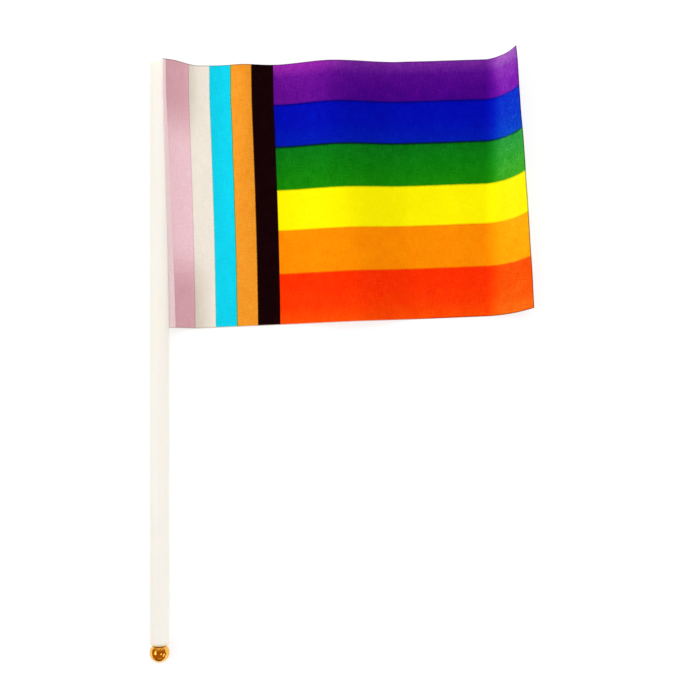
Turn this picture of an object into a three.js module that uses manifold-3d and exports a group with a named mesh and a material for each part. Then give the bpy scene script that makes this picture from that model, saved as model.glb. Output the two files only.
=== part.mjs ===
// A hand-waving pride flag, lying on its back with the printed face up. Its cloth is bonded by one
// edge along the side of a white plastic tube, and a gilt ball is plugged into the tube's lower end.
//
// Millimetres. +X runs from the pole to the cloth's free edge, +Y up the pole, and +Z away from the
// surface that the flag lies on. The origin is on that surface, under the middle of the pole.

import * as THREE from "three";
import { mergeVertices } from "three/addons/utils/BufferGeometryUtils.js";
import Module from "manifold-3d";

// Pole: an extruded tube, cut square at the top and drawn in at the foot to hold the ball
const POLE_LENGTH = 302.7;
const POLE_RADIUS = 5.15;
const POLE_WALL = 0.9;
const POLE_SIDES = 48;
const FOOT_LENGTH = 2.8;
const FOOT_INSET = 0.85;
const FOOT_STEPS = 5;
const TOP_BEVEL = 0.25;

// What rests on the surface is flattened by this much, so that the pole's axis lies lower by it
const FLAT_DEPTH = 0.1;
const AXIS_HEIGHT = POLE_RADIUS - FLAT_DEPTH;

// Clear distance between neighbouring pieces, and under the cloth, whose facets cut across its curve
const GAP = 0.3;
const HOIST_GAP = 0.45;

// Ball finial: a sphere as wide as the pole, on a plug that goes up the pole's bore
const BALL_RADIUS = 5.15;
const BALL_CENTRE_BELOW_FOOT = 4.35;
const PLUG_LENGTH = 12;
const PLUG_BEVEL = 0.6;
const BALL_SIDES = 36;
const BALL_STEPS = 16;

// Cloth: where its edges lie, as straight lines that the pull of the bond and of the free end bend
const CLOTH_THICKNESS = 1;
const TOP_EDGE_Y = 149.5;
const TOP_EDGE_SLOPE = 0.026;
const BOTTOM_EDGE_Y = 12.25;
const BOTTOM_EDGE_SLOPE = 0.042;
const TOP_CORNER_RISE = 2.8;
const BOTTOM_CORNER_RISE = 0.75;
const CORNER_START = 4.7;
const CORNER_END = 20.7;

// Hoist edge: it crosses the pole's shoulder, as angles from the crown round towards the cloth
const HOIST_ANGLE_TOP = 25;
const HOIST_ANGLE_BOTTOM = 80;
const HOIST_STRAIGHT_SHARE = 0.13;

// Drop: the curve in which the cloth comes down from the pole
const DROP_SLOPE_TOP = 38;
const DROP_SLOPE_BOTTOM = 50;
const DROP_HANDLE = 3.2;
const DROP_FOOT_HANDLE = 7;
const DROP_STEPS = 13;

// Folds over the field: distance from the pole's axis at the top edge, how far the fold leans away on
// its way to the bottom edge, and the height of the underside there at the top and bottom edges
const FOLDS = [
  { name: "foot of the drop", at: 20, lean: 0, top: 3.7, bottom: 0.5 },
  { name: "first valley", at: 31, lean: 0, top: 2.4, bottom: 0.3 },
  { name: "low ridge", at: 43, lean: 1, top: 4.4, bottom: 0.6 },
  { name: "wide valley", at: 60, lean: 4, top: 0.9, bottom: 0.1 },
  { name: "crest", at: 89, lean: 14, top: 8.9, bottom: 6.2 },
  { name: "flat", at: 124, lean: 12, top: 0.1, bottom: 0 },
  { name: "second flat", at: 142, lean: 4, top: 0, bottom: 0 },
  { name: "swell", at: 156, lean: 1, top: 0.7, bottom: 0.6 },
  { name: "foot of the flap", at: 169, lean: 0, top: 0.7, bottom: 0.2 },
];
const DROP_FOOT = FOLDS[0].at;
const FLAP_FOOT = FOLDS[FOLDS.length - 1].at;
const FIELD_STEPS = 38;

// Flap: the free end, which turns up at a crease and steepens towards its edge, more at the top
const CREASE_WIDTH = 4.3;
const FLAP_LENGTH_TOP = 22;
const FLAP_LENGTH_BOTTOM = 27;
const CREASE_ANGLE_TOP = 33;
const CREASE_ANGLE_BOTTOM = 10.5;
const EDGE_ANGLE_TOP = 63;
const EDGE_ANGLE_BOTTOM = 29;
const FLAP_SWEEP_TOP = 3.3;
const FLAP_SWEEP_MIDDLE = 1.2;
const FLAP_SWEEP_BOTTOM = 3.2;
const FLAP_SWEEP_POWER = 2.25;
const FLAP_STEPS = 11;

const CLOTH_ROWS = 18;

const PLASTIC = { color: 0xf6f2e8, roughness: 0.35, metalness: 0 };
const GILT = { color: 0xd9962a, roughness: 0.18, metalness: 1 };
const PRINTED_CLOTH = { color: 0xf08a1c, roughness: 0.7, metalness: 0 };

const wasm = await Module();
wasm.setup();

const { degToRad, lerp, smoothstep } = THREE.MathUtils;

// Keeps what a closed geometry has above the surface, which leaves a narrow flat to rest on.
function restOnSurface(geometry) {
  const reach = 2 * POLE_LENGTH;
  const below = new THREE.BoxGeometry(reach, reach, reach).translate(0, 0, -reach / 2);
  const kept = solidOf(geometry).subtract(solidOf(below)).getMesh();
  const cut = new THREE.BufferGeometry();
  cut.setAttribute("position", new THREE.BufferAttribute(kept.vertProperties, 3));
  cut.setIndex(new THREE.BufferAttribute(kept.triVerts, 1));
  cut.computeVertexNormals();
  return cut;
}

function solidOf(geometry) {
  const bare = geometry.clone();
  bare.deleteAttribute("normal");
  bare.deleteAttribute("uv");
  const merged = mergeVertices(bare, 1e-3);
  const mesh = new wasm.Mesh({
    numProp: 3,
    vertProperties: merged.attributes.position.array,
    triVerts: new Uint32Array(merged.index.array),
  });
  return new wasm.Manifold(mesh);
}

function namedMesh(name, geometry, finish) {
  const mesh = new THREE.Mesh(geometry, new THREE.MeshStandardMaterial(finish));
  mesh.name = name;
  return mesh;
}

// Radius lost at a height above the foot: a quarter ellipse, all of it at the foot itself.
function footInset(height) {
  const left = 1 - Math.min(height / FOOT_LENGTH, 1);
  return FOOT_INSET * (1 - Math.sqrt(1 - left * left));
}

// The tube's section, turned about the Y axis: up the outer wall, over the top and down the bore.
function poleGeometry() {
  const bore = POLE_RADIUS - POLE_WALL;
  const heights = [];
  for (let i = 0; i <= FOOT_STEPS; i += 1) {
    heights.push(FOOT_LENGTH * (1 - Math.cos((i / FOOT_STEPS) * (Math.PI / 2))));
  }
  const outer = heights.map((h) => new THREE.Vector2(POLE_RADIUS - footInset(h), h));
  const inner = heights.map((h) => new THREE.Vector2(bore - footInset(h), h)).reverse();
  const rim = [
    new THREE.Vector2(POLE_RADIUS, POLE_LENGTH - TOP_BEVEL),
    new THREE.Vector2(POLE_RADIUS - TOP_BEVEL, POLE_LENGTH),
    new THREE.Vector2(bore, POLE_LENGTH),
  ];
  const section = [...outer, ...rim, ...inner, outer[0]];
  return new THREE.LatheGeometry(section, POLE_SIDES)
    .translate(0, -POLE_LENGTH / 2, AXIS_HEIGHT);
}

// The finial's section, turned about the Y axis: round the ball, up its neck and over the plug.
function ballGeometry() {
  const plug = POLE_RADIUS - POLE_WALL - FOOT_INSET - GAP;
  const centre = -BALL_CENTRE_BELOW_FOOT;
  const neckAngle = Math.PI - Math.asin(plug / BALL_RADIUS);
  const section = [];
  for (let i = 0; i <= BALL_STEPS; i += 1) {
    const turned = (i / BALL_STEPS) * neckAngle;
    const radius = i === 0 ? 0 : BALL_RADIUS * Math.sin(turned);
    section.push(new THREE.Vector2(radius, centre - BALL_RADIUS * Math.cos(turned)));
  }
  section.push(new THREE.Vector2(plug, PLUG_LENGTH - PLUG_BEVEL));
  section.push(new THREE.Vector2(plug - PLUG_BEVEL, PLUG_LENGTH));
  section.push(new THREE.Vector2(0, PLUG_LENGTH));
  return new THREE.LatheGeometry(section, BALL_SIDES)
    .translate(0, -POLE_LENGTH / 2, AXIS_HEIGHT);
}

// How much of the top edge's relief is left at a share of the cloth's height: it fades downwards,
// slowly at first.
function topShare(up) {
  return up * (2 - up);
}

// Height of the underside over the field, eased from each row of FOLDS to the next.
function fieldHeight(at, up) {
  const places = FOLDS.map((fold) => fold.at + fold.lean * (1 - up));
  const heights = FOLDS.map((fold) => lerp(fold.bottom, fold.top, topShare(up)));
  let height = heights[0];
  for (let i = 1; i < FOLDS.length; i += 1) {
    height += (heights[i] - heights[i - 1]) * smoothstep(at, places[i - 1], places[i]);
  }
  return height;
}

// The drop from the pole at a share of the cloth's height: a Bezier curve in (distance, height).
function dropCurve(up) {
  const along = Math.min(up / (1 - HOIST_STRAIGHT_SHARE), 1);
  const angle = degToRad(lerp(HOIST_ANGLE_BOTTOM, HOIST_ANGLE_TOP, along));
  const slope = degToRad(lerp(DROP_SLOPE_BOTTOM, DROP_SLOPE_TOP, up));
  const radius = POLE_RADIUS + HOIST_GAP;
  const foot = new THREE.Vector2(DROP_FOOT, fieldHeight(DROP_FOOT, up));
  const start = new THREE.Vector2(Math.sin(angle), Math.cos(angle)).multiplyScalar(radius);
  start.y += AXIS_HEIGHT;
  const away = new THREE.Vector2(Math.cos(slope), -Math.sin(slope)).multiplyScalar(DROP_HANDLE);
  const back = new THREE.Vector2(-DROP_FOOT_HANDLE, 0);
  return new THREE.CubicBezierCurve(start, start.clone().add(away), foot.clone().add(back), foot);
}

// The flap's points, added up in equal steps along the cloth. Its slope eases in over the crease and
// then grows evenly to the edge.
function flapPoints(up) {
  const length = lerp(FLAP_LENGTH_BOTTOM, FLAP_LENGTH_TOP, up);
  const crease = degToRad(lerp(CREASE_ANGLE_BOTTOM, CREASE_ANGLE_TOP, up));
  const edge = degToRad(lerp(EDGE_ANGLE_BOTTOM, EDGE_ANGLE_TOP, up));
  const step = length / FLAP_STEPS;
  const points = [];
  let at = FLAP_FOOT;
  let height = fieldHeight(FLAP_FOOT, up);
  for (let i = 0; i < FLAP_STEPS; i += 1) {
    const share = (i + 0.5) / FLAP_STEPS;
    const slope = crease * smoothstep(share * length, 0, CREASE_WIDTH) + (edge - crease) * share;
    at += step * Math.cos(slope);
    height += step * Math.sin(slope);
    points.push(new THREE.Vector2(at, height));
  }
  return points;
}

// How far up the pole a point of the cloth lies, from its distance, its share of the cloth's height
// and its share of the flap. The corners rise by the pole, and the flap sweeps up, most of all in
// its middle rows.
function heightUpPole(at, up, flapShare) {
  const corner = 1 - smoothstep(at, CORNER_START, CORNER_END);
  const top = TOP_EDGE_Y + TOP_EDGE_SLOPE * at + TOP_CORNER_RISE * corner;
  const bottom = BOTTOM_EDGE_Y + BOTTOM_EDGE_SLOPE * at + BOTTOM_CORNER_RISE * corner;
  const middle = 4 * up * (1 - up) * FLAP_SWEEP_MIDDLE;
  const sweep = lerp(FLAP_SWEEP_BOTTOM, FLAP_SWEEP_TOP, up) + middle;
  return lerp(bottom, top, up) + sweep * flapShare ** FLAP_SWEEP_POWER;
}

// One row of the cloth's underside, from the hoist to the fly.
function clothRow(up) {
  const row = [];
  const place = (point, flapShare) => {
    row.push(new THREE.Vector3(point.x, heightUpPole(point.x, up, flapShare), point.y));
  };
  dropCurve(up).getPoints(DROP_STEPS).forEach((point) => place(point, 0));
  for (let i = 1; i <= FIELD_STEPS; i += 1) {
    const at = lerp(DROP_FOOT, FLAP_FOOT, i / FIELD_STEPS);
    place(new THREE.Vector2(at, fieldHeight(at, up)), 0);
  }
  flapPoints(up).forEach((point, i) => place(point, (i + 1) / FLAP_STEPS));
  return row;
}

// The cloth: its underside, the same grid lifted along the surface's normals, and a rim round both.
function clothGeometry() {
  const rows = [];
  for (let j = 0; j <= CLOTH_ROWS; j += 1) {
    rows.push(clothRow(j / CLOTH_ROWS));
  }
  const across = rows[0].length;
  const up = rows.length;
  const at = (i, j) => j * across + i;
  const sheet = new THREE.BufferGeometry().setFromPoints(rows.flat());
  const faces = [];
  for (let j = 0; j + 1 < up; j += 1) {
    for (let i = 0; i + 1 < across; i += 1) {
      faces.push(at(i, j), at(i + 1, j), at(i + 1, j + 1));
      faces.push(at(i, j), at(i + 1, j + 1), at(i, j + 1));
    }
  }
  sheet.setIndex(faces);
  sheet.computeVertexNormals();

  const under = rows.flat();
  const over = under.map((point, k) => {
    const normal = new THREE.Vector3().fromBufferAttribute(sheet.attributes.normal, k);
    return point.clone().addScaledVector(normal, CLOTH_THICKNESS);
  });
  const border = [];
  for (let i = 0; i < across - 1; i += 1) border.push(at(i, 0));
  for (let j = 0; j < up - 1; j += 1) border.push(at(across - 1, j));
  for (let i = across - 1; i > 0; i -= 1) border.push(at(i, up - 1));
  for (let j = up - 1; j > 0; j -= 1) border.push(at(0, j));

  const closed = [];
  for (let k = 0; k < faces.length; k += 3) {
    const [a, b, c] = faces.slice(k, k + 3);
    closed.push(a, c, b);
    closed.push(under.length + a, under.length + b, under.length + c);
  }
  border.forEach((a, k) => {
    const b = border[(k + 1) % border.length];
    closed.push(a, b, under.length + b);
    closed.push(a, under.length + b, under.length + a);
  });
  const cloth = new THREE.BufferGeometry().setFromPoints([...under, ...over]);
  cloth.setIndex(closed);
  cloth.computeVertexNormals();
  return cloth;
}

const flag = new THREE.Group();
flag.add(namedMesh("pole", restOnSurface(poleGeometry()), PLASTIC));
flag.add(namedMesh("ball_finial", restOnSurface(ballGeometry()), GILT));
flag.add(namedMesh("flag_cloth", clothGeometry(), PRINTED_CLOTH));

export default flag;
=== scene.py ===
"""A hand-waving pride flag that lies on its back on a pale table, with its printed face up.

The flag has three pieces: a white plastic pole, a gilt ball plugged into the pole's foot, and a
printed cloth bonded along the pole's side. Sizes are in millimetres, and MM turns them into the
metres of the frame. X runs from the pole to the cloth's free edge, Y up the pole and Z off the table.
"""

import math

import bmesh
import bpy
import numpy as np
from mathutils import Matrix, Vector


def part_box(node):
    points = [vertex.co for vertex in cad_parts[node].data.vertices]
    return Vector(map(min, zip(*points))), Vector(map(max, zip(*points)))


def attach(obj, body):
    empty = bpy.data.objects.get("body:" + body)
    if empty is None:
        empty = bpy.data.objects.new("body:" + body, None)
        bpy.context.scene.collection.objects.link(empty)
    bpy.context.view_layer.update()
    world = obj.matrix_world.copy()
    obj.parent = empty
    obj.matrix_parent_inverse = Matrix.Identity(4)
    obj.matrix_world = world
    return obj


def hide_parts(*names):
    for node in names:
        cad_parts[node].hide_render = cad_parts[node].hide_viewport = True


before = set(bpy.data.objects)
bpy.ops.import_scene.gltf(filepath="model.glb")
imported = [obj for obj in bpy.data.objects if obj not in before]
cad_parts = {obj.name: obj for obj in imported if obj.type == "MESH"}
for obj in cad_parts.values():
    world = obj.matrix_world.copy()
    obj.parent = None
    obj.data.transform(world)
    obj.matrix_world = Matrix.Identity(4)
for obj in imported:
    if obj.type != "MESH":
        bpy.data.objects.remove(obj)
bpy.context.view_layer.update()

MM = 0.001

# Camera. It looks straight down on the flag from 650 mm above the table, and its lens takes in a
# square 367 mm wide, so that the pole, the cloth and the ball lie where the photograph has them.
CAMERA_ABOVE = (99.1, 1.75)
CAMERA_HEIGHT = 650
VIEW_WIDTH = 367.07
SENSOR_WIDTH = 36

camera_data = bpy.data.cameras.new("camera")
camera_data.sensor_width = SENSOR_WIDTH
camera_data.lens = SENSOR_WIDTH * CAMERA_HEIGHT / VIEW_WIDTH
camera = bpy.data.objects.new("camera", camera_data)
camera.location = Vector((*CAMERA_ABOVE, CAMERA_HEIGHT)) * MM
bpy.context.scene.collection.objects.link(camera)
bpy.context.scene.camera = camera


# Table top. A board of white acrylic, lit from behind so that shadows on it stay faint, and wide
# enough to reach the horizon from any side. Its face is a hair below the flag's resting plane.
TABLE_HALF_WIDTH = 6000
TABLE_LEVEL = -0.05
TABLE_COLOUR = (0.3, 0.3, 0.3, 1)
TABLE_GLOW = 0.72


class Shade:
    """A socket of a shader tree. Its operators add Math nodes, and node() adds any other node."""

    def __init__(self, tree, socket=None):
        self.tree = tree
        self.socket = socket

    def node(self, kind, settings=None, sockets=None, output=0):
        """A new node of a kind: its settings go first, then the value or link of each socket."""
        made = self.tree.nodes.new("ShaderNode" + kind)
        for name, value in (settings or {}).items():
            if name == "stops":
                while len(made.color_ramp.elements) < len(value):
                    made.color_ramp.elements.new(1)
                for element, (position, colour) in zip(made.color_ramp.elements, value):
                    element.position = position
                    element.color = colour
            else:
                setattr(made, name, value)
        for name, value in (sockets or {}).items():
            if isinstance(value, Shade):
                self.tree.links.new(value.socket, made.inputs[name])
            else:
                made.inputs[name].default_value = value
        return Shade(self.tree, made.outputs[output])

    def math(self, operation, *values):
        return self.node("Math", {"operation": operation}, dict(enumerate(values)))

    def between(self, low, high, how="MIX"):
        """A colour that is low where this value is 0 and high where it is 1."""
        settings = {"data_type": "RGBA", "blend_type": how}
        return self.node("Mix", settings, {0: self, 6: low, 7: high}, 2)

    def eased(self, start, end):
        """0 below start and 1 above end, with a smooth step between them."""
        settings = {"interpolation_type": "SMOOTHSTEP"}
        return self.node("MapRange", settings, {"Value": self, "From Min": start, "From Max": end})

    def __add__(self, other):
        return self.math("ADD", self, other)

    def __radd__(self, other):
        return self.math("ADD", other, self)

    def __sub__(self, other):
        return self.math("SUBTRACT", self, other)

    def __rsub__(self, other):
        return self.math("SUBTRACT", other, self)

    def __mul__(self, other):
        return self.math("MULTIPLY", self, other)

    def __rmul__(self, other):
        return self.math("MULTIPLY", other, self)


def finish_of(name, settings):
    """A material of one Principled shader: constants by socket name, and links for what varies."""
    material = bpy.data.materials.new(name)
    material.use_nodes = True
    shader = material.node_tree.nodes["Principled BSDF"]
    for socket, value in settings(Shade(material.node_tree)).items():
        if isinstance(value, Shade):
            material.node_tree.links.new(value.socket, shader.inputs[socket])
        else:
            shader.inputs[socket].default_value = value
    return material


def lit_acrylic(shade):
    return {
        "Base Color": TABLE_COLOUR,
        "Roughness": 0.85,
        "Specular IOR Level": 0.05,
        "Emission Color": (1, 1, 1, 1),
        "Emission Strength": TABLE_GLOW,
    }


table_corners = [(-1, -1), (1, -1), (1, 1), (-1, 1)]
table_mesh = bpy.data.meshes.new("table_top")
table_mesh.from_pydata(
    [Vector((x * TABLE_HALF_WIDTH, y * TABLE_HALF_WIDTH, TABLE_LEVEL)) * MM for x, y in table_corners],
    [],
    [(0, 1, 2, 3)],
)
table_mesh.materials.append(finish_of("lit_acrylic", lit_acrylic))
table_top = bpy.data.objects.new("table_top", table_mesh)
bpy.context.scene.collection.objects.link(table_top)


# Light. A soft pale haze, two wide lamps on the left, a broad one beyond the pole's top end, a weak
# one on the right, and two small windows and a near sill that glint in the ball. What gloss shows is
# the dim brown room behind the haze, with a pale far wall. A lamp's light misses what it spares.
LAMPS = [
    {"name": "left", "azimuth": 180, "elevation": 46, "size": (900, 400), "away": 1100, "watts": 2.2,
     "spares": []},
    {"name": "low_left", "azimuth": 180, "elevation": 16, "size": (900, 450), "away": 1100,
     "watts": 7.2, "spares": ["pole_tube", "ball_gilt"]},
    {"name": "top", "azimuth": 86, "elevation": 50, "size": (2600, 1800), "away": 2400,
     "watts": 37, "spares": ["ball_gilt"]},
    {"name": "right", "azimuth": 0, "elevation": 18, "size": (900, 300), "away": 1200, "watts": 1.2,
     "spares": ["ball_gilt"]},
    {"name": "high_window", "azimuth": -30, "elevation": 63, "size": (330, 170), "away": 900,
     "watts": 0.38, "spares": []},
    {"name": "low_window", "azimuth": -36, "elevation": 30, "size": (360, 170), "away": 900,
     "watts": 0.36, "spares": []},
    {"name": "near_sill", "azimuth": -90, "elevation": 24, "size": (560, 130), "away": 900,
     "watts": 0.09, "spares": []},
]
HAZE_STOPS = [
    (0.0, (0.75, 0.75, 0.75, 1)),
    (0.1, (0.7, 0.7, 0.7, 1)),
    (0.3, (0.5, 0.5, 0.5, 1)),
    (0.7, (0.42, 0.41, 0.4, 1)),
    (1.0, (0.3, 0.29, 0.28, 1)),
]
HAZE_STRENGTH = 1.18
ROOM = (0.33, 0.14, 0.016, 1)
FAR_WALL = (0.78, 0.66, 0.45, 1)
FAR_WALL_EDGES = (0.4, 0.9)

bpy.context.scene.view_settings.view_transform = "Standard"
middle = Vector((*CAMERA_ABOVE, 0)) * MM
for lamp in LAMPS:
    azimuth, elevation = math.radians(lamp["azimuth"]), math.radians(lamp["elevation"])
    towards = Vector((math.cos(azimuth) * math.cos(elevation),
                      math.sin(azimuth) * math.cos(elevation),
                      math.sin(elevation)))
    light = bpy.data.lights.new("lamp_" + lamp["name"], "AREA")
    light.shape = "RECTANGLE"
    light.size = lamp["size"][0] * MM
    light.size_y = lamp["size"][1] * MM
    light.energy = lamp["watts"]
    lamp_object = bpy.data.objects.new("lamp_" + lamp["name"], light)
    lamp_object.location = middle + towards * lamp["away"] * MM
    lamp_object.rotation_euler = towards.to_track_quat("Z", "Y").to_euler()
    lamp_object.visible_camera = False
    bpy.context.scene.collection.objects.link(lamp_object)

haze = bpy.data.worlds.new("haze")
haze.use_nodes = True
bpy.context.scene.world = haze
air = Shade(haze.node_tree)
direction = air.node("TexCoord", output="Generated")
height = air.node("SeparateXYZ", sockets={0: direction}, output="Z")
haze_colour = air.node("ValToRGB", {"stops": HAZE_STOPS}, {0: height})
beyond = air.node("SeparateXYZ", sockets={0: direction}, output="Y")
room_colour = beyond.eased(*FAR_WALL_EDGES).between(ROOM, FAR_WALL)
in_gloss = air.node("LightPath", output="Is Glossy Ray")
background = haze.node_tree.nodes["Background"]
background.inputs["Strength"].default_value = HAZE_STRENGTH
haze.node_tree.links.new(in_gloss.between(haze_colour, room_colour).socket, background.inputs["Color"])

# Dark card. It stands on the table below the ball, out of the picture, and shows in gloss alone.
DARK_CARD_Y = -245
DARK_CARD_HALF_WIDTH = 50
DARK_CARD_HEIGHT = 24


def dark_paper(shade):
    return {"Base Color": (0.03, 0.02, 0.01, 1), "Roughness": 0.9, "Specular IOR Level": 0}


card_corners = [(-1, 0), (1, 0), (1, 1), (-1, 1)]
card_mesh = bpy.data.meshes.new("dark_card")
card_mesh.from_pydata(
    [Vector((x * DARK_CARD_HALF_WIDTH, DARK_CARD_Y, z * DARK_CARD_HEIGHT)) * MM for x, z in card_corners],
    [],
    [(0, 1, 2, 3)],
)
card_mesh.materials.append(finish_of("dark_paper", dark_paper))
dark_card = bpy.data.objects.new("dark_card", card_mesh)
dark_card.visible_camera = False
dark_card.visible_diffuse = False
dark_card.visible_shadow = False
bpy.context.scene.collection.objects.link(dark_card)


# Pole. An extruded tube of ivory plastic, sawn square at the top with its rims just broken, and
# drawn in at the foot, where it was heated to grip the ball's plug.
pole_low, pole_high = (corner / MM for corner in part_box("pole"))
POLE_RADIUS = (pole_high.x - pole_low.x) / 2
POLE_AXIS = pole_high.z - POLE_RADIUS
POLE_WALL = 0.9
RIM_RADIUS = 0.25
FOOT_LENGTH = 2.8
FOOT_INSET = 0.85
FOOT_LIP = 0.3
FOOT_STEPS = 18
RIM_STEPS = 5
POLE_SIDES = 112
POLE_STEPS = 60
WELD_DISTANCE = 0.0001


def turned(name, radius, along, closed):
    """A solid turned about the pole's axis: a profile of radius and place along the pole, carried
    round in equal angles. What would lie under the table's level is pressed up to it. A closed
    profile gives a ring, and an open one starts and ends on the axis."""
    angle = np.linspace(0, 2 * math.pi, POLE_SIDES, endpoint=False)
    points = np.empty((len(radius), POLE_SIDES, 3))
    points[..., 0] = radius[:, None] * np.sin(angle)
    points[..., 1] = along[:, None]
    points[..., 2] = np.maximum(POLE_AXIS + radius[:, None] * np.cos(angle), 0)
    index = np.arange(len(radius) * POLE_SIDES).reshape(len(radius), POLE_SIDES)
    index = np.hstack([index, index[:, :1]])
    if closed:
        index = np.vstack([index, index[:1]])
    corners = [index[:-1, :-1], index[1:, :-1], index[1:, 1:], index[:-1, 1:]]
    mesh = bpy.data.meshes.new(name)
    mesh.from_pydata(points.reshape(-1, 3) * MM, [], np.stack(corners, -1).reshape(-1, 4).tolist())
    merged = bmesh.new()
    merged.from_mesh(mesh)
    bmesh.ops.remove_doubles(merged, verts=merged.verts, dist=WELD_DISTANCE * MM)
    bmesh.ops.recalc_face_normals(merged, faces=merged.faces)
    merged.to_mesh(mesh)
    merged.free()
    mesh.shade_smooth()
    piece = bpy.data.objects.new(name, mesh)
    bpy.context.scene.collection.objects.link(piece)
    return piece


def arc(centre, radius, start, end, steps):
    """Points (radius, along) on an arc about a centre, its angles in quarter turns from outwards."""
    angle = np.linspace(start, end, steps + 1) * math.pi / 2
    return centre[0] + radius * np.cos(angle), centre[1] + radius * np.sin(angle)


def pole_profile():
    """The tube's section, outer wall upwards and bore downwards. The foot is a quarter ellipse, in
    which the wall loses FOOT_INSET over FOOT_LENGTH, and its lip closes on the ball. The top's rims
    are quarter circles."""
    bore = POLE_RADIUS - POLE_WALL
    foot, top = pole_low.y - FOOT_LIP, pole_high.y
    turn = np.linspace(0, math.pi / 2, FOOT_STEPS + 1)
    foot_in = FOOT_INSET * (1 - np.sin(turn))
    foot_up = foot + FOOT_LENGTH * (1 - np.cos(turn))
    shaft_up = np.linspace(foot + FOOT_LENGTH, top - RIM_RADIUS, POLE_STEPS)[1:-1]
    outer = (POLE_RADIUS - foot_in, foot_up)
    shaft = (np.full(len(shaft_up), POLE_RADIUS), shaft_up)
    top_rim = arc((POLE_RADIUS - RIM_RADIUS, top - RIM_RADIUS), RIM_RADIUS, 0, 1, RIM_STEPS)
    bore_rim = arc((bore + RIM_RADIUS, top - RIM_RADIUS), RIM_RADIUS, 1, 2, RIM_STEPS)
    bore_down = (np.full(len(shaft_up), bore), shaft_up[::-1])
    inner = (bore - foot_in[::-1], foot_up[::-1])
    parts = [outer, shaft, top_rim, bore_rim, bore_down, inner]
    return np.concatenate([p[0] for p in parts]), np.concatenate([p[1] for p in parts])


# Ivory plastic: its patterns run along the pole, and are given in cells to a metre on each axis
IVORY = (0.9, 0.865, 0.81, 1)
IVORY_CLOUD = (0.885, 0.84, 0.77, 1)
CLOUD_EDGES = (0.35, 0.65)
DRAWN_LINES = (1500, 6, 1500)
DRAWN_LINE_DEPTH = 0.04
SMEARS = (200, 20, 200)
SCUFFS = (300, 70, 300)
SCUFF_EDGES = (0.5, 0.75)
SMOOTH_PLASTIC = 0.3
SCUFF_ROUGHNESS = 0.16
# Painted reflection: the foot is tinted gold near the ball, for the gilt that it reflects
GILT_REFLECTION_TINT = (0.9, 0.72, 0.4, 1)
GILT_REFLECTION_REACH = 1.8
PLASTIC_DEPTH = 0.9


def ivory_plastic(shade):
    place = shade.node("TexCoord", output="Object")

    def along_the_pole(cells, detail):
        stretched = shade.node("Mapping", sockets={"Vector": place, "Scale": cells})
        return shade.node("TexNoise", sockets={"Vector": stretched, "Scale": 1, "Detail": detail})

    lines = along_the_pole(DRAWN_LINES, 2)
    smears = along_the_pole(SMEARS, 3)
    scuffs = along_the_pole(SCUFFS, 5)
    ivory = ((lines + smears) * 0.5).eased(*CLOUD_EDGES).between(IVORY_CLOUD, IVORY)
    foot = (pole_low.y - FOOT_LIP) * MM
    up_the_foot = shade.node("SeparateXYZ", sockets={0: place}, output="Y") - foot
    relief = {"Strength": 0.25, "Distance": DRAWN_LINE_DEPTH * MM, "Height": lines}
    return {
        # Painted reflection of the gilt ball, fading up the foot
        "Base Color": up_the_foot.eased(0, GILT_REFLECTION_REACH * MM).between(GILT_REFLECTION_TINT, ivory),
        "Subsurface Weight": 1,
        "Subsurface Radius": (1, 0.9, 0.75),
        "Subsurface Scale": PLASTIC_DEPTH * MM,
        "Roughness": SMOOTH_PLASTIC + scuffs.eased(*SCUFF_EDGES) * SCUFF_ROUGHNESS,
        "Specular IOR Level": 0.35,
        "Normal": shade.node("Bump", sockets=relief),
    }


pole = turned("pole_tube", *pole_profile(), closed=True)
pole.data.materials.append(finish_of("ivory_plastic", ivory_plastic))
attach(pole, "root")
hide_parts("pole")


# Ball. A gilt bead as wide as the pole, moulded in plastic in one piece with its plug and plated, so
# that its skin is a little dented. It is pushed up the pole's bore until it all but meets the foot.
ball_low, ball_high = (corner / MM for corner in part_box("ball_finial"))
BALL_RADIUS = (ball_high.x - ball_low.x) / 2
BALL_CENTRE = ball_low.y + BALL_RADIUS
PLUG_CLEARANCE = 0.3
PLUG_RADIUS = POLE_RADIUS - POLE_WALL - FOOT_INSET - PLUG_CLEARANCE
PLUG_BEVEL = 0.6
BALL_STEPS = 72
NECK_STEPS = 8


def ball_profile():
    """The finial's section from its lowest point: round the sphere to the neck, up the plug, and
    over its rounded end to the axis."""
    neck = (math.pi - math.asin(PLUG_RADIUS / BALL_RADIUS)) / (math.pi / 2)
    sphere = arc((0, BALL_CENTRE), BALL_RADIUS, -1, neck - 1, BALL_STEPS)
    plug_up = np.linspace(sphere[1][-1], ball_high.y - PLUG_BEVEL, NECK_STEPS)[1:-1]
    plug = (np.full(len(plug_up), PLUG_RADIUS), plug_up)
    end = arc((PLUG_RADIUS - PLUG_BEVEL, ball_high.y - PLUG_BEVEL), PLUG_BEVEL, 0, 1, NECK_STEPS)
    cap = (np.array([0.0]), np.array([ball_high.y]))
    parts = [sphere, plug, end, cap]
    radius = np.concatenate([p[0] for p in parts])
    radius[0] = 0
    return radius, np.concatenate([p[1] for p in parts])


# Gilt: its patterns are given in cells to a metre
BRIGHT_GILT = (0.95, 0.54, 0.11, 1)
WORN_GILT = (0.8, 0.38, 0.05, 1)
DENTS = 560
DENT_SHARE = 0.4
DENT_DEPTH = 0.2
SWELLS = 330
WEAR = 800
WEAR_EDGES = (0.45, 0.65)
DULL_EDGES = (0.45, 0.75)
POLISHED_GILT = 0.06
WEAR_ROUGHNESS = 0.1


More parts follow.
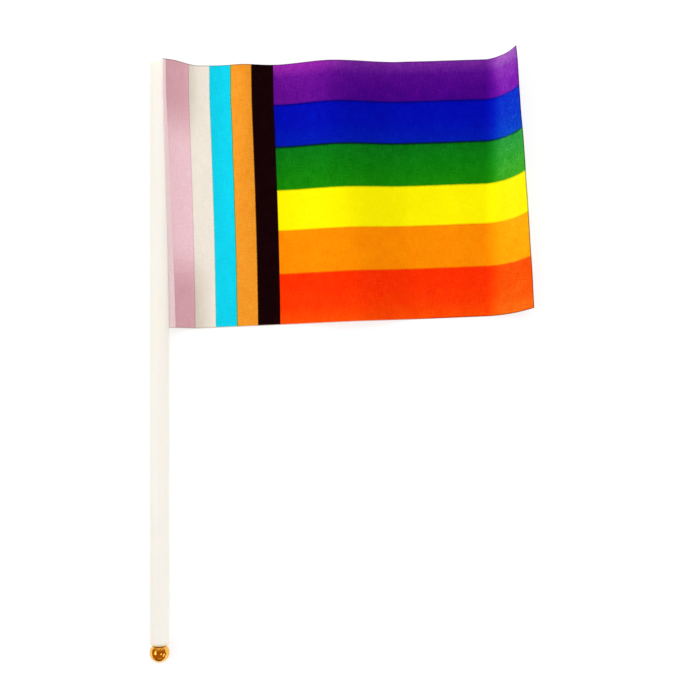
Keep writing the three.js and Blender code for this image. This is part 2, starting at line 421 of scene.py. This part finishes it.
def gilt(shade):
    place = shade.node("TexCoord", output="Object")
    dents = shade.node("TexVoronoi", {"feature": "SMOOTH_F1"}, {"Vector": place, "Scale": DENTS})
    swells = shade.node("TexNoise", sockets={"Vector": place, "Scale": SWELLS, "Detail": 1})
    worn = shade.node("TexNoise", sockets={"Vector": place, "Scale": WEAR, "Detail": 3})
    relief = {"Strength": 1, "Distance": DENT_DEPTH * MM, "Height": dents * DENT_SHARE + swells}
    return {
        "Base Color": worn.eased(*WEAR_EDGES).between(BRIGHT_GILT, WORN_GILT),
        "Metallic": 1,
        "Roughness": POLISHED_GILT + worn.eased(*DULL_EDGES) * WEAR_ROUGHNESS,
        "Normal": shade.node("Bump", sockets=relief),
    }


ball = turned("ball_gilt", *ball_profile(), closed=False)
ball.data.materials.append(finish_of("gilt", gilt))
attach(ball, "root")
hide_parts("ball_finial")


# Cloth. Thin polyester, printed in one pass and heat cut to size with no hem. Its hoist edge is
# bonded along the pole, it falls from there to the table, and its free end turns up in a flap.
CUT_LENGTH = 193
CUT_HEIGHT = 137
CLOTH_THICKNESS = 0.3
BOND_GAP = 0.05
BEAD_WIDTH = 0.5
BEAD_SWELL = 0.5
BOND_WIDTH_TOP = 1.7
BOND_WIDTH_BOTTOM = 3.6
BOND_STEP = 0.22
BOND_STEP_WIDTH = 0.35

# Edges, as straight lines that the bond's pull lifts beside the pole
TOP_EDGE_Y = 149.5
TOP_EDGE_SLOPE = 0.026
BOTTOM_EDGE_Y = 12.25
BOTTOM_EDGE_SLOPE = 0.042
TOP_CORNER_RISE = 2.8
BOTTOM_CORNER_RISE = 0.75
CORNER_START = 4.7
CORNER_END = 20.7

# Hoist and drop: the edge crosses the pole's shoulder, in degrees from its crown
HOIST_ANGLE_TOP = 25
HOIST_ANGLE_BOTTOM = 80
HOIST_STRAIGHT_SHARE = 0.13
DROP_SLOPE_TOP = 38
DROP_SLOPE_BOTTOM = 50
DROP_HANDLE = 3.2
DROP_FOOT_HANDLE = 7

# Folds across the field: distance from the pole's axis at the top edge, how far the fold leans away
# on its way to the bottom edge, and the underside's height at either edge
FOLDS = [
    {"name": "foot of the drop", "at": 20, "lean": 0, "top": 3.7, "bottom": 0.5},
    {"name": "first valley", "at": 31, "lean": 0, "top": 2.4, "bottom": 0.3},
    {"name": "low ridge", "at": 43, "lean": 1, "top": 4.4, "bottom": 0.6},
    {"name": "wide valley", "at": 60, "lean": 4, "top": 0.9, "bottom": 0.1},
    {"name": "crest", "at": 89, "lean": 14, "top": 8.9, "bottom": 6.2},
    {"name": "flat", "at": 124, "lean": 12, "top": 0.1, "bottom": 0},
    {"name": "second flat", "at": 142, "lean": 4, "top": 0, "bottom": 0},
    {"name": "swell", "at": 156, "lean": 1, "top": 0.7, "bottom": 0.6},
    {"name": "foot of the flap", "at": 169, "lean": 0, "top": 0.7, "bottom": 0.2},
]

# Flap: the free end, which turns up at a crease and steepens towards its edge
CREASE_WIDTH = 4.3
FLAP_LENGTH_TOP = 22
FLAP_LENGTH_BOTTOM = 27
CREASE_ANGLE_TOP = 33
CREASE_ANGLE_BOTTOM = 10.5
EDGE_ANGLE_TOP = 63
EDGE_ANGLE_BOTTOM = 29
FLAP_SWEEP_TOP = 3.3
FLAP_SWEEP_MIDDLE = 1.2
FLAP_SWEEP_BOTTOM = 3.2
FLAP_SWEEP_POWER = 2.25

# Ripple: fine unevenness, as waves whose lengths lie between two limits and whose headings spread
# about the cut's length, in radians. It comes in over the start of the drop.
RIPPLE_HEIGHT = 0.22
RIPPLE_WAVES = 26
RIPPLE_LENGTHS = (9, 34)
RIPPLE_SPREAD = 0.7
RIPPLE_SEED = 11
RIPPLE_ONSET = (3, 16)

DROP_STEPS = 70
DROP_CROWDING = 1.5
FIELD_STEPS = 128
FLAP_STEPS = 40
CLOTH_ROWS = 160


def mixed(low, high, share):
    """The value that lies at a share of the way from low to high."""
    return low + (high - low) * share


def eased(value, start, end):
    """0 below start, 1 above end, and 3s^2 - 2s^3 for a share s of the way between them."""
    share = np.clip((value - start) / (end - start), 0, 1)
    return share * share * (3 - 2 * share)


def field_height(at, up):
    """The underside over the table: the folds' heights, eased from each to the next. The top
    edge's relief fades downwards, as up (2 - up)."""
    places = [fold["at"] + fold["lean"] * (1 - up) for fold in FOLDS]
    heights = [mixed(fold["bottom"], fold["top"], up * (2 - up)) for fold in FOLDS]
    height = heights[0] + 0 * at
    for start, end, low, high in zip(places, places[1:], heights, heights[1:]):
        height = height + (high - low) * eased(at, start, end)
    return height


def drop_path(up, share):
    """The fall from the pole, in distance and height: a cubic Bezier curve that leaves the pole's
    shoulder at a slope and comes in level at the foot of the drop."""
    along = np.minimum(up / (1 - HOIST_STRAIGHT_SHARE), 1)
    angle = np.radians(mixed(HOIST_ANGLE_BOTTOM, HOIST_ANGLE_TOP, along))
    slope = np.radians(mixed(DROP_SLOPE_BOTTOM, DROP_SLOPE_TOP, up))
    seat = POLE_RADIUS + BOND_GAP + CLOTH_THICKNESS / 2
    foot = FOLDS[0]["at"]
    level = field_height(foot, up) + CLOTH_THICKNESS / 2
    start = (seat * np.sin(angle), POLE_AXIS + seat * np.cos(angle))
    away = (start[0] + DROP_HANDLE * np.cos(slope), start[1] - DROP_HANDLE * np.sin(slope))
    weights = [(1 - share) ** 3, 3 * share * (1 - share) ** 2, 3 * share**2 * (1 - share), share**3]
    distances = [start[0], away[0], foot - DROP_FOOT_HANDLE, foot]
    heights = [start[1], away[1], level, level]
    return (sum(w * d for w, d in zip(weights, distances)),
            sum(w * h for w, h in zip(weights, heights)))


def flap_path(up, steps):
    """The flap, in distance and height: equal steps along the cloth, added up. Its slope eases in
    over the crease and then grows evenly to the edge."""
    length = mixed(FLAP_LENGTH_BOTTOM, FLAP_LENGTH_TOP, up)
    share = (np.arange(steps) + 0.5) / steps
    crease = np.radians(mixed(CREASE_ANGLE_BOTTOM, CREASE_ANGLE_TOP, up))
    edge = np.radians(mixed(EDGE_ANGLE_BOTTOM, EDGE_ANGLE_TOP, up))
    slope = crease * eased(share * length, 0, CREASE_WIDTH) + (edge - crease) * share
    foot = FOLDS[-1]["at"]
    level = field_height(foot, up) + CLOTH_THICKNESS / 2
    return (foot + np.cumsum(length / steps * np.cos(slope), axis=1),
            level + np.cumsum(length / steps * np.sin(slope), axis=1))


def up_the_pole(at, up, flap_share):
    """How far up the pole a point lies: between the two edge lines, with the corners lifted beside
    the pole and the flap swept up, most of all in its middle rows."""
    corner = 1 - eased(at, CORNER_START, CORNER_END)
    top = TOP_EDGE_Y + TOP_EDGE_SLOPE * at + TOP_CORNER_RISE * corner
    bottom = BOTTOM_EDGE_Y + BOTTOM_EDGE_SLOPE * at + BOTTOM_CORNER_RISE * corner
    sweep = mixed(FLAP_SWEEP_BOTTOM, FLAP_SWEEP_TOP, up) + 4 * up * (1 - up) * FLAP_SWEEP_MIDDLE
    return mixed(bottom, top, up) + sweep * flap_share**FLAP_SWEEP_POWER


def ripple(run, rise):
    """The ripple's height at a place on the cut: the sum of sine waves, each with a length, heading
    and phase drawn at random from a fixed seed. Longer waves are higher, in proportion."""
    draw = np.random.default_rng(RIPPLE_SEED)
    height = 0 * run
    for _ in range(RIPPLE_WAVES):
        length = draw.uniform(*RIPPLE_LENGTHS)
        heading = draw.normal(0, RIPPLE_SPREAD)
        phase = draw.uniform(0, 2 * math.pi)
        along = run * math.cos(heading) + rise * math.sin(heading)
        height = height + length / RIPPLE_LENGTHS[1] * np.sin(2 * math.pi * along / length + phase)
    return RIPPLE_HEIGHT * (height / RIPPLE_WAVES**0.5)


def cloth_points():
    """The sheet's middle surface on a grid of rows up the pole and columns along the cloth, and
    each point's share of the cut's length."""
    up = np.linspace(0, 1, CLOTH_ROWS + 1)[:, None]
    drop_at, drop_z = drop_path(up, np.linspace(0, 1, DROP_STEPS + 1)[None, :] ** DROP_CROWDING)
    field_at = np.linspace(FOLDS[0]["at"], FOLDS[-1]["at"], FIELD_STEPS + 1)[None, 1:] + 0 * up
    field_z = field_height(field_at, up) + CLOTH_THICKNESS / 2
    flap_at, flap_z = flap_path(up, FLAP_STEPS)
    flap_share = np.arange(1, FLAP_STEPS + 1)[None, :] / FLAP_STEPS + 0 * up
    at = np.hstack([drop_at, field_at, flap_at])
    share = np.hstack([0 * drop_at, 0 * field_at, flap_share])
    points = np.stack([at, up_the_pole(at, up, share), np.hstack([drop_z, field_z, flap_z])], -1)
    steps = np.linalg.norm(np.diff(points, axis=1), axis=-1)
    run = np.hstack([0 * up, np.cumsum(steps, axis=1)])
    run = run / run[:, -1:]
    lift = ripple(run * CUT_LENGTH, up * CUT_HEIGHT) * eased(run * CUT_LENGTH, *RIPPLE_ONSET)
    points = points + normals_of(points) * lift[..., None]
    points[..., 2] = np.maximum(points[..., 2], CLOTH_THICKNESS / 2)
    return points, run


def normals_of(points):
    """Unit normals of a grid: the cross product of its two directions at each point."""
    across = np.gradient(points, axis=1)
    upwards = np.gradient(points, axis=0)
    normal = np.cross(across, upwards)
    return normal / np.linalg.norm(normal, axis=-1, keepdims=True)


def cloth_sheet():
    """The closed sheet: its middle surface moved half the thickness either way, with a rim round
    both. The melted edge stands a little proud on either side, and the bonded strip on its face."""
    points, run = cloth_points()
    rows, columns = run.shape
    up = np.linspace(0, 1, rows)[:, None] + 0 * run
    inwards = np.minimum(np.minimum(up, 1 - up) * CUT_HEIGHT, (1 - run) * CUT_LENGTH)
    bead = 1 + BEAD_SWELL * (1 - eased(inwards, 0, BEAD_WIDTH))
    half = (CLOTH_THICKNESS / 2 * bead)[..., None] * normals_of(points)
    past_bond = run * CUT_LENGTH - mixed(BOND_WIDTH_BOTTOM, BOND_WIDTH_TOP, up)
    step = BOND_STEP * (1 - eased(past_bond, -BOND_STEP_WIDTH / 2, BOND_STEP_WIDTH / 2))
    face = half + step[..., None] * normals_of(points)
    over = np.arange(rows * columns).reshape(rows, columns)
    under = over + rows * columns
    front = np.stack([over[:-1, :-1], over[:-1, 1:], over[1:, 1:], over[1:, :-1]], -1)
    back = np.stack([under[:-1, :-1], under[1:, :-1], under[1:, 1:], under[:-1, 1:]], -1)
    border = np.concatenate([over[0, :-1], over[:-1, -1], over[-1, :0:-1], over[:0:-1, 0]])
    after = np.roll(border, -1)
    rim = np.stack([border + over.size, after + over.size, after, border], -1)
    faces = np.concatenate([front.reshape(-1, 4), back.reshape(-1, 4), rim])
    mesh = bpy.data.meshes.new("cloth_sheet")
    both = np.concatenate([(points + face).reshape(-1, 3), (points - half).reshape(-1, 3)])
    both[:, 2] = np.maximum(both[:, 2], 0)
    mesh.from_pydata(both * MM, [], faces.tolist())
    mesh.polygons.foreach_set("use_smooth", np.arange(len(faces)) < len(faces) - len(rim))
    corner = np.empty(len(mesh.loops), int)
    mesh.loops.foreach_get("vertex_index", corner)
    place = np.stack([np.tile(run.ravel(), 2), np.tile(up.ravel(), 2)], -1)
    cut = mesh.uv_layers.new(name="cut")
    cut.data.foreach_set("uv", place[corner].ravel())
    flap = mixed(FLAP_LENGTH_BOTTOM, FLAP_LENGTH_TOP, up)
    past_crease = run * CUT_LENGTH - (CUT_LENGTH - flap)
    readings = {
        "reverse": np.repeat([0.0, 1.0], run.size),
        "past_bond": np.tile(past_bond.ravel(), 2),
        "past_crease": np.tile(past_crease.ravel(), 2),
    }
    for name, values in readings.items():
        mesh.attributes.new(name, "FLOAT", "POINT").data.foreach_set("value", values)
    piece = bpy.data.objects.new("cloth_sheet", mesh)
    bpy.context.scene.collection.objects.link(piece)
    return piece


# Inks: each one's tones from its lower side to its upper side, evenly spaced
INK = {
    "purple": [(0.05, 0.0003, 0.192), (0.059, 0.0006, 0.197), (0.0776, 0.002, 0.215), (0.155, 0.018, 0.27)],
    "blue": [(0.00004, 0.0078, 0.35), (0.00004, 0.0028, 0.35), (0.00004, 0.0019, 0.35)],
    "green": [(0.0063, 0.192, 0.001), (0.0028, 0.163, 0.0025), (0.0017, 0.137, 0.0055)],
    "yellow": [(0.82, 0.735, 0.0001)],
    "orange": [(0.82, 0.216, 0.0001)],
    "red": [(0.82, 0.06, 0.0006), (0.82, 0.0345, 0.0002), (0.82, 0.0255, 0.0001), (0.82, 0.0235, 0.0001)],
    "pink": [(0.765, 0.5, 0.545)],
    "cream": [(0.75, 0.69, 0.605)],
    "light blue": [(0.004, 0.54, 0.71)],
    "tan": [(0.745, 0.262, 0.018)],
    "black": [(0.006, 0.0003, 0.001)],
}

# Layout: stripes from the bottom edge up, and upright bands from the hoist, with how wide one ink
# overprints the next at each border. The overprint is darker than either ink, and its sides are soft.
STRIPES = ["red", "orange", "yellow", "green", "blue", "purple"]
STRIPE_BORDERS = [26.6, 49.5, 70.9, 93.4, 115.6]
STRIPE_OVERPRINTS = [0.45, 0.45, 0.45, 1.05, 0.95]
BANDS = ["pink", "cream", "light blue", "tan", "black"]
BAND_BORDERS = [14, 25, 36, 47]
BAND_OVERPRINTS = [0.45, 0.45, 0.45, 0.45]
BANDS_END = 58.5
OVERPRINT_TONE = 0.85
SOFT_SHARE = 0.65
INK_EDGE = 0.3
INK_WANDER = 0.4

# The purple is drawn more violet near the hoist, and more violet still along the top edge there, as a
# painted sheen. Uneven ink: the depth of all the ink follows the threads, whose patterns are in cells to a
# millimetre along and up the cloth.
VIOLET = (0.3, 0.012, 0.34, 1)
VIOLET_END = (75, 105)
VIOLET_SHARE = 0.18
VIOLET_SHEEN_SHARE = 0.45
VIOLET_SHEEN_DEPTH = 8
VIOLET_EDGE = 1
WEFT = (0.22, 3.4, 1)
WARP = (3.4, 0.18, 1)
GRAIN = (1.3, 1.3, 1)
CLOUDS = (0.16, 0.16, 1)
THREAD_DEPTH = 0.38
GRAIN_DEPTH = 0.4
CLOUD_DEPTH = 0.2
THREAD_TONE = 0.05

# Painted light and shade on the flap and beside the bond, then a paler bond and back
# Painted highlight: the turned-up flap is painted paler and a little duller, for the sheen it catches
FLAP_SHEEN_TOP = 0.45
FLAP_SHEEN_BOTTOM = 0.29
FLAP_SHEEN_DULLNESS = 0.14
FLAP_SHEEN_ONSET = (0.5, 10)
FLAP_SHEEN_STREAKS = 10
# Painted shade: beside the bond, most of all near its ends, the ink is painted deeper and darker
DROP_SHADE_FULL = 8
DROP_SHADE_REACH = 22
DROP_SHADE_ENDS = (0.35, 0.75)
DROP_SHADE_DEPTH = 0.45
DROP_SHADE_DARKNESS = 0.14
BARE_POLYESTER = (0.84, 0.83, 0.8, 1)
BOND_PALENESS = 0.24
BOND_EDGE = 0.15
SHOW_THROUGH = 0.16

# Cut edges: scorched dark by the hot knife, but for the bottom edge by the hoist, which melted cream
SCORCHED_TONE = 0.42
SCORCHED_WIDTH = (0.15, 0.6)
MELTED_CREAM = (0.74, 0.64, 0.5, 1)
MELTED_WIDTH = (0.1, 0.5)
MELTED_END = (90, 150)

# Weave: plain, and finer than the threads' unevenness
WEAVE_PITCH = 0.32
WEAVE_SHARE = 0.35
WEAVE_DEPTH = 0.08
CLOTH_ROUGHNESS = 0.58
GRAIN_ROUGHNESS = 0.2


def ink_stops(inks, borders, overprints, width):
    """Ramp stops for inks side by side, over a width. They overprint each other at a border, where
    each colour channel is the darker ink's and a little darker still. Each ink ends softly, over a
    share of the overprint's width."""
    reaches = [overprint * (1 + SOFT_SHARE) / 2 for overprint in overprints]
    starts = [0] + [border + reach for border, reach in zip(borders, reaches)]
    ends = [border - reach for border, reach in zip(borders, reaches)] + [width]
    stops = []
    for ink, start, end in zip(inks, starts, ends):
        tones = INK[ink] if len(INK[ink]) > 1 else INK[ink] * 2
        stops += zip(np.linspace(start, end, len(tones)), tones)
    for border, overprint, first, second in zip(borders, overprints, inks, inks[1:]):
        both = tuple(OVERPRINT_TONE * min(a, b) for a, b in zip(INK[first][-1], INK[second][0]))
        inner = overprint * (1 - SOFT_SHARE) / 2
        stops += [(border - inner, both), (border + inner, both)]
    return [(place / width, (*colour, 1)) for place, colour in sorted(stops)]


def printed_polyester(shade):
    cut = shade.node("UVMap", {"uv_map": "cut"})
    run = shade.node("SeparateXYZ", sockets={0: cut}, output="X") * CUT_LENGTH
    rise = shade.node("SeparateXYZ", sockets={0: cut}, output="Y") * CUT_HEIGHT
    place = shade.node("CombineXYZ", sockets={"X": run, "Y": rise})

    def reading(name):
        return shade.node("Attribute", {"attribute_name": name}, output="Fac")

    def threads(cells, detail):
        stretched = shade.node("Mapping", sockets={"Vector": place, "Scale": cells})
        return shade.node("TexNoise", sockets={"Vector": stretched, "Scale": 1, "Detail": detail})

    weft = threads(WEFT, 2)
    warp = threads(WARP, 2)
    grain = threads(GRAIN, 3)
    clouds = threads(CLOUDS, 3)
    from_top = CUT_HEIGHT - rise

    wander = (grain - 0.5) * INK_WANDER
    stripe_stops = ink_stops(STRIPES, STRIPE_BORDERS, STRIPE_OVERPRINTS, CUT_HEIGHT)
    stripes = shade.node("ValToRGB", {"stops": stripe_stops}, {0: (rise + wander) * (1 / CUT_HEIGHT)})
    band_stops = ink_stops(BANDS, BAND_BORDERS, BAND_OVERPRINTS, BANDS_END)
    bands = shade.node("ValToRGB", {"stops": band_stops}, {0: (run + wander) * (1 / BANDS_END)})
    # Painted sheen along the top edge, near the hoist
    painted_sheen_at_top = 1 - from_top.eased(0, VIOLET_SHEEN_DEPTH)
    violet = (1 - run.eased(*VIOLET_END)) * (VIOLET_SHARE + painted_sheen_at_top * VIOLET_SHEEN_SHARE)
    in_purple = rise.eased(STRIPE_BORDERS[-1], STRIPE_BORDERS[-1] + VIOLET_EDGE)
    stripes = (violet * in_purple).between(stripes, VIOLET)
    past_bands = (run + wander).eased(BANDS_END - INK_EDGE / 2, BANDS_END + INK_EDGE / 2)
    ink = past_bands.between(bands, stripes)

    # Painted highlight on the flap past its crease, its onset streaked along the threads
    streaked = reading("past_crease") + (weft + warp - 1) * FLAP_SHEEN_STREAKS
    painted_flap_sheen = streaked.eased(*FLAP_SHEEN_ONSET)
    flap_sheen_strength = FLAP_SHEEN_BOTTOM + rise * ((FLAP_SHEEN_TOP - FLAP_SHEEN_BOTTOM) / CUT_HEIGHT)
    past_bond = reading("past_bond")
    bonded = 1 - past_bond.eased(-BOND_EDGE, BOND_EDGE)
    # Painted shade where the cloth drops from the pole, strongest near the bond's two ends
    from_middle = shade.math("ABSOLUTE", rise * (2 / CUT_HEIGHT) - 1)
    painted_drop_shade = (1 - bonded) * (1 - past_bond.eased(DROP_SHADE_FULL, DROP_SHADE_REACH)) * from_middle.eased(*DROP_SHADE_ENDS)
    uneven = (weft + warp - 1) * THREAD_DEPTH + (grain - 0.5) * GRAIN_DEPTH + (clouds - 0.5) * CLOUD_DEPTH
    depth = 1 + uneven - painted_flap_sheen * flap_sheen_strength + painted_drop_shade * DROP_SHADE_DEPTH
    ink = shade.node("Gamma", sockets={"Color": ink, "Gamma": depth})
    ink = (bonded * BOND_PALENESS).between(ink, BARE_POLYESTER)
    ink = (reading("reverse") * SHOW_THROUGH).between(ink, BARE_POLYESTER)

    near_hoist = 1 - run.eased(*MELTED_END)
    ink = ((1 - rise.eased(*MELTED_WIDTH)) * near_hoist).between(ink, MELTED_CREAM)
    # Near the hoist, a millimetre is added to the way from the bottom edge, which clears its scorch
    from_cut = shade.math("MINIMUM", from_top, CUT_LENGTH - run)
    from_cut = shade.math("MINIMUM", from_cut, rise + near_hoist)
    scorched = SCORCHED_TONE + from_cut.eased(*SCORCHED_WIDTH) * (1 - SCORCHED_TONE)
    # Painted darkening: the shade beside the bond, and the dulling of the flap's painted sheen
    painted_dimming = (1 - painted_drop_shade * DROP_SHADE_DARKNESS) * (1 - painted_flap_sheen * FLAP_SHEEN_DULLNESS)
    tone = (1 - (weft + warp + grain - 1.5) * THREAD_TONE) * scorched * painted_dimming
    shown = shade.node("CombineXYZ", sockets={"X": tone, "Y": tone, "Z": tone})

    pitch = 2 * math.pi / WEAVE_PITCH
    weave = shade.math("SINE", run * pitch) * shade.math("SINE", rise * pitch)
    raised = weave * WEAVE_SHARE + weft + warp
    relief = {"Strength": 0.35, "Distance": WEAVE_DEPTH * MM, "Height": raised}
    return {
        "Base Color": shade.node("VectorMath", {"operation": "MULTIPLY"}, {0: ink, 1: shown}),
        "Roughness": CLOTH_ROUGHNESS + (grain - 0.5) * GRAIN_ROUGHNESS,
        "Specular IOR Level": 0.013,
        "Normal": shade.node("Bump", sockets=relief),
    }


cloth = cloth_sheet()
cloth.data.materials.append(finish_of("printed_polyester", printed_polyester))
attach(cloth, "root")
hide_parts("flag_cloth")


# Cards. Each lamp's light is kept off the pieces that it spares, as a card beside it would keep it.
# The pieces are linked by name, so this comes after them all.
for lamp in LAMPS:
    if lamp["spares"]:
        shaded = bpy.data.collections.new("shaded_from_" + lamp["name"])
        for name in lamp["spares"]:
            shaded.objects.link(bpy.data.objects[name])
        for kept_dark in shaded.collection_objects:
            kept_dark.light_linking.link_state = "EXCLUDE"
        bpy.data.objects["lamp_" + lamp["name"]].light_linking.receiver_collection = shaded
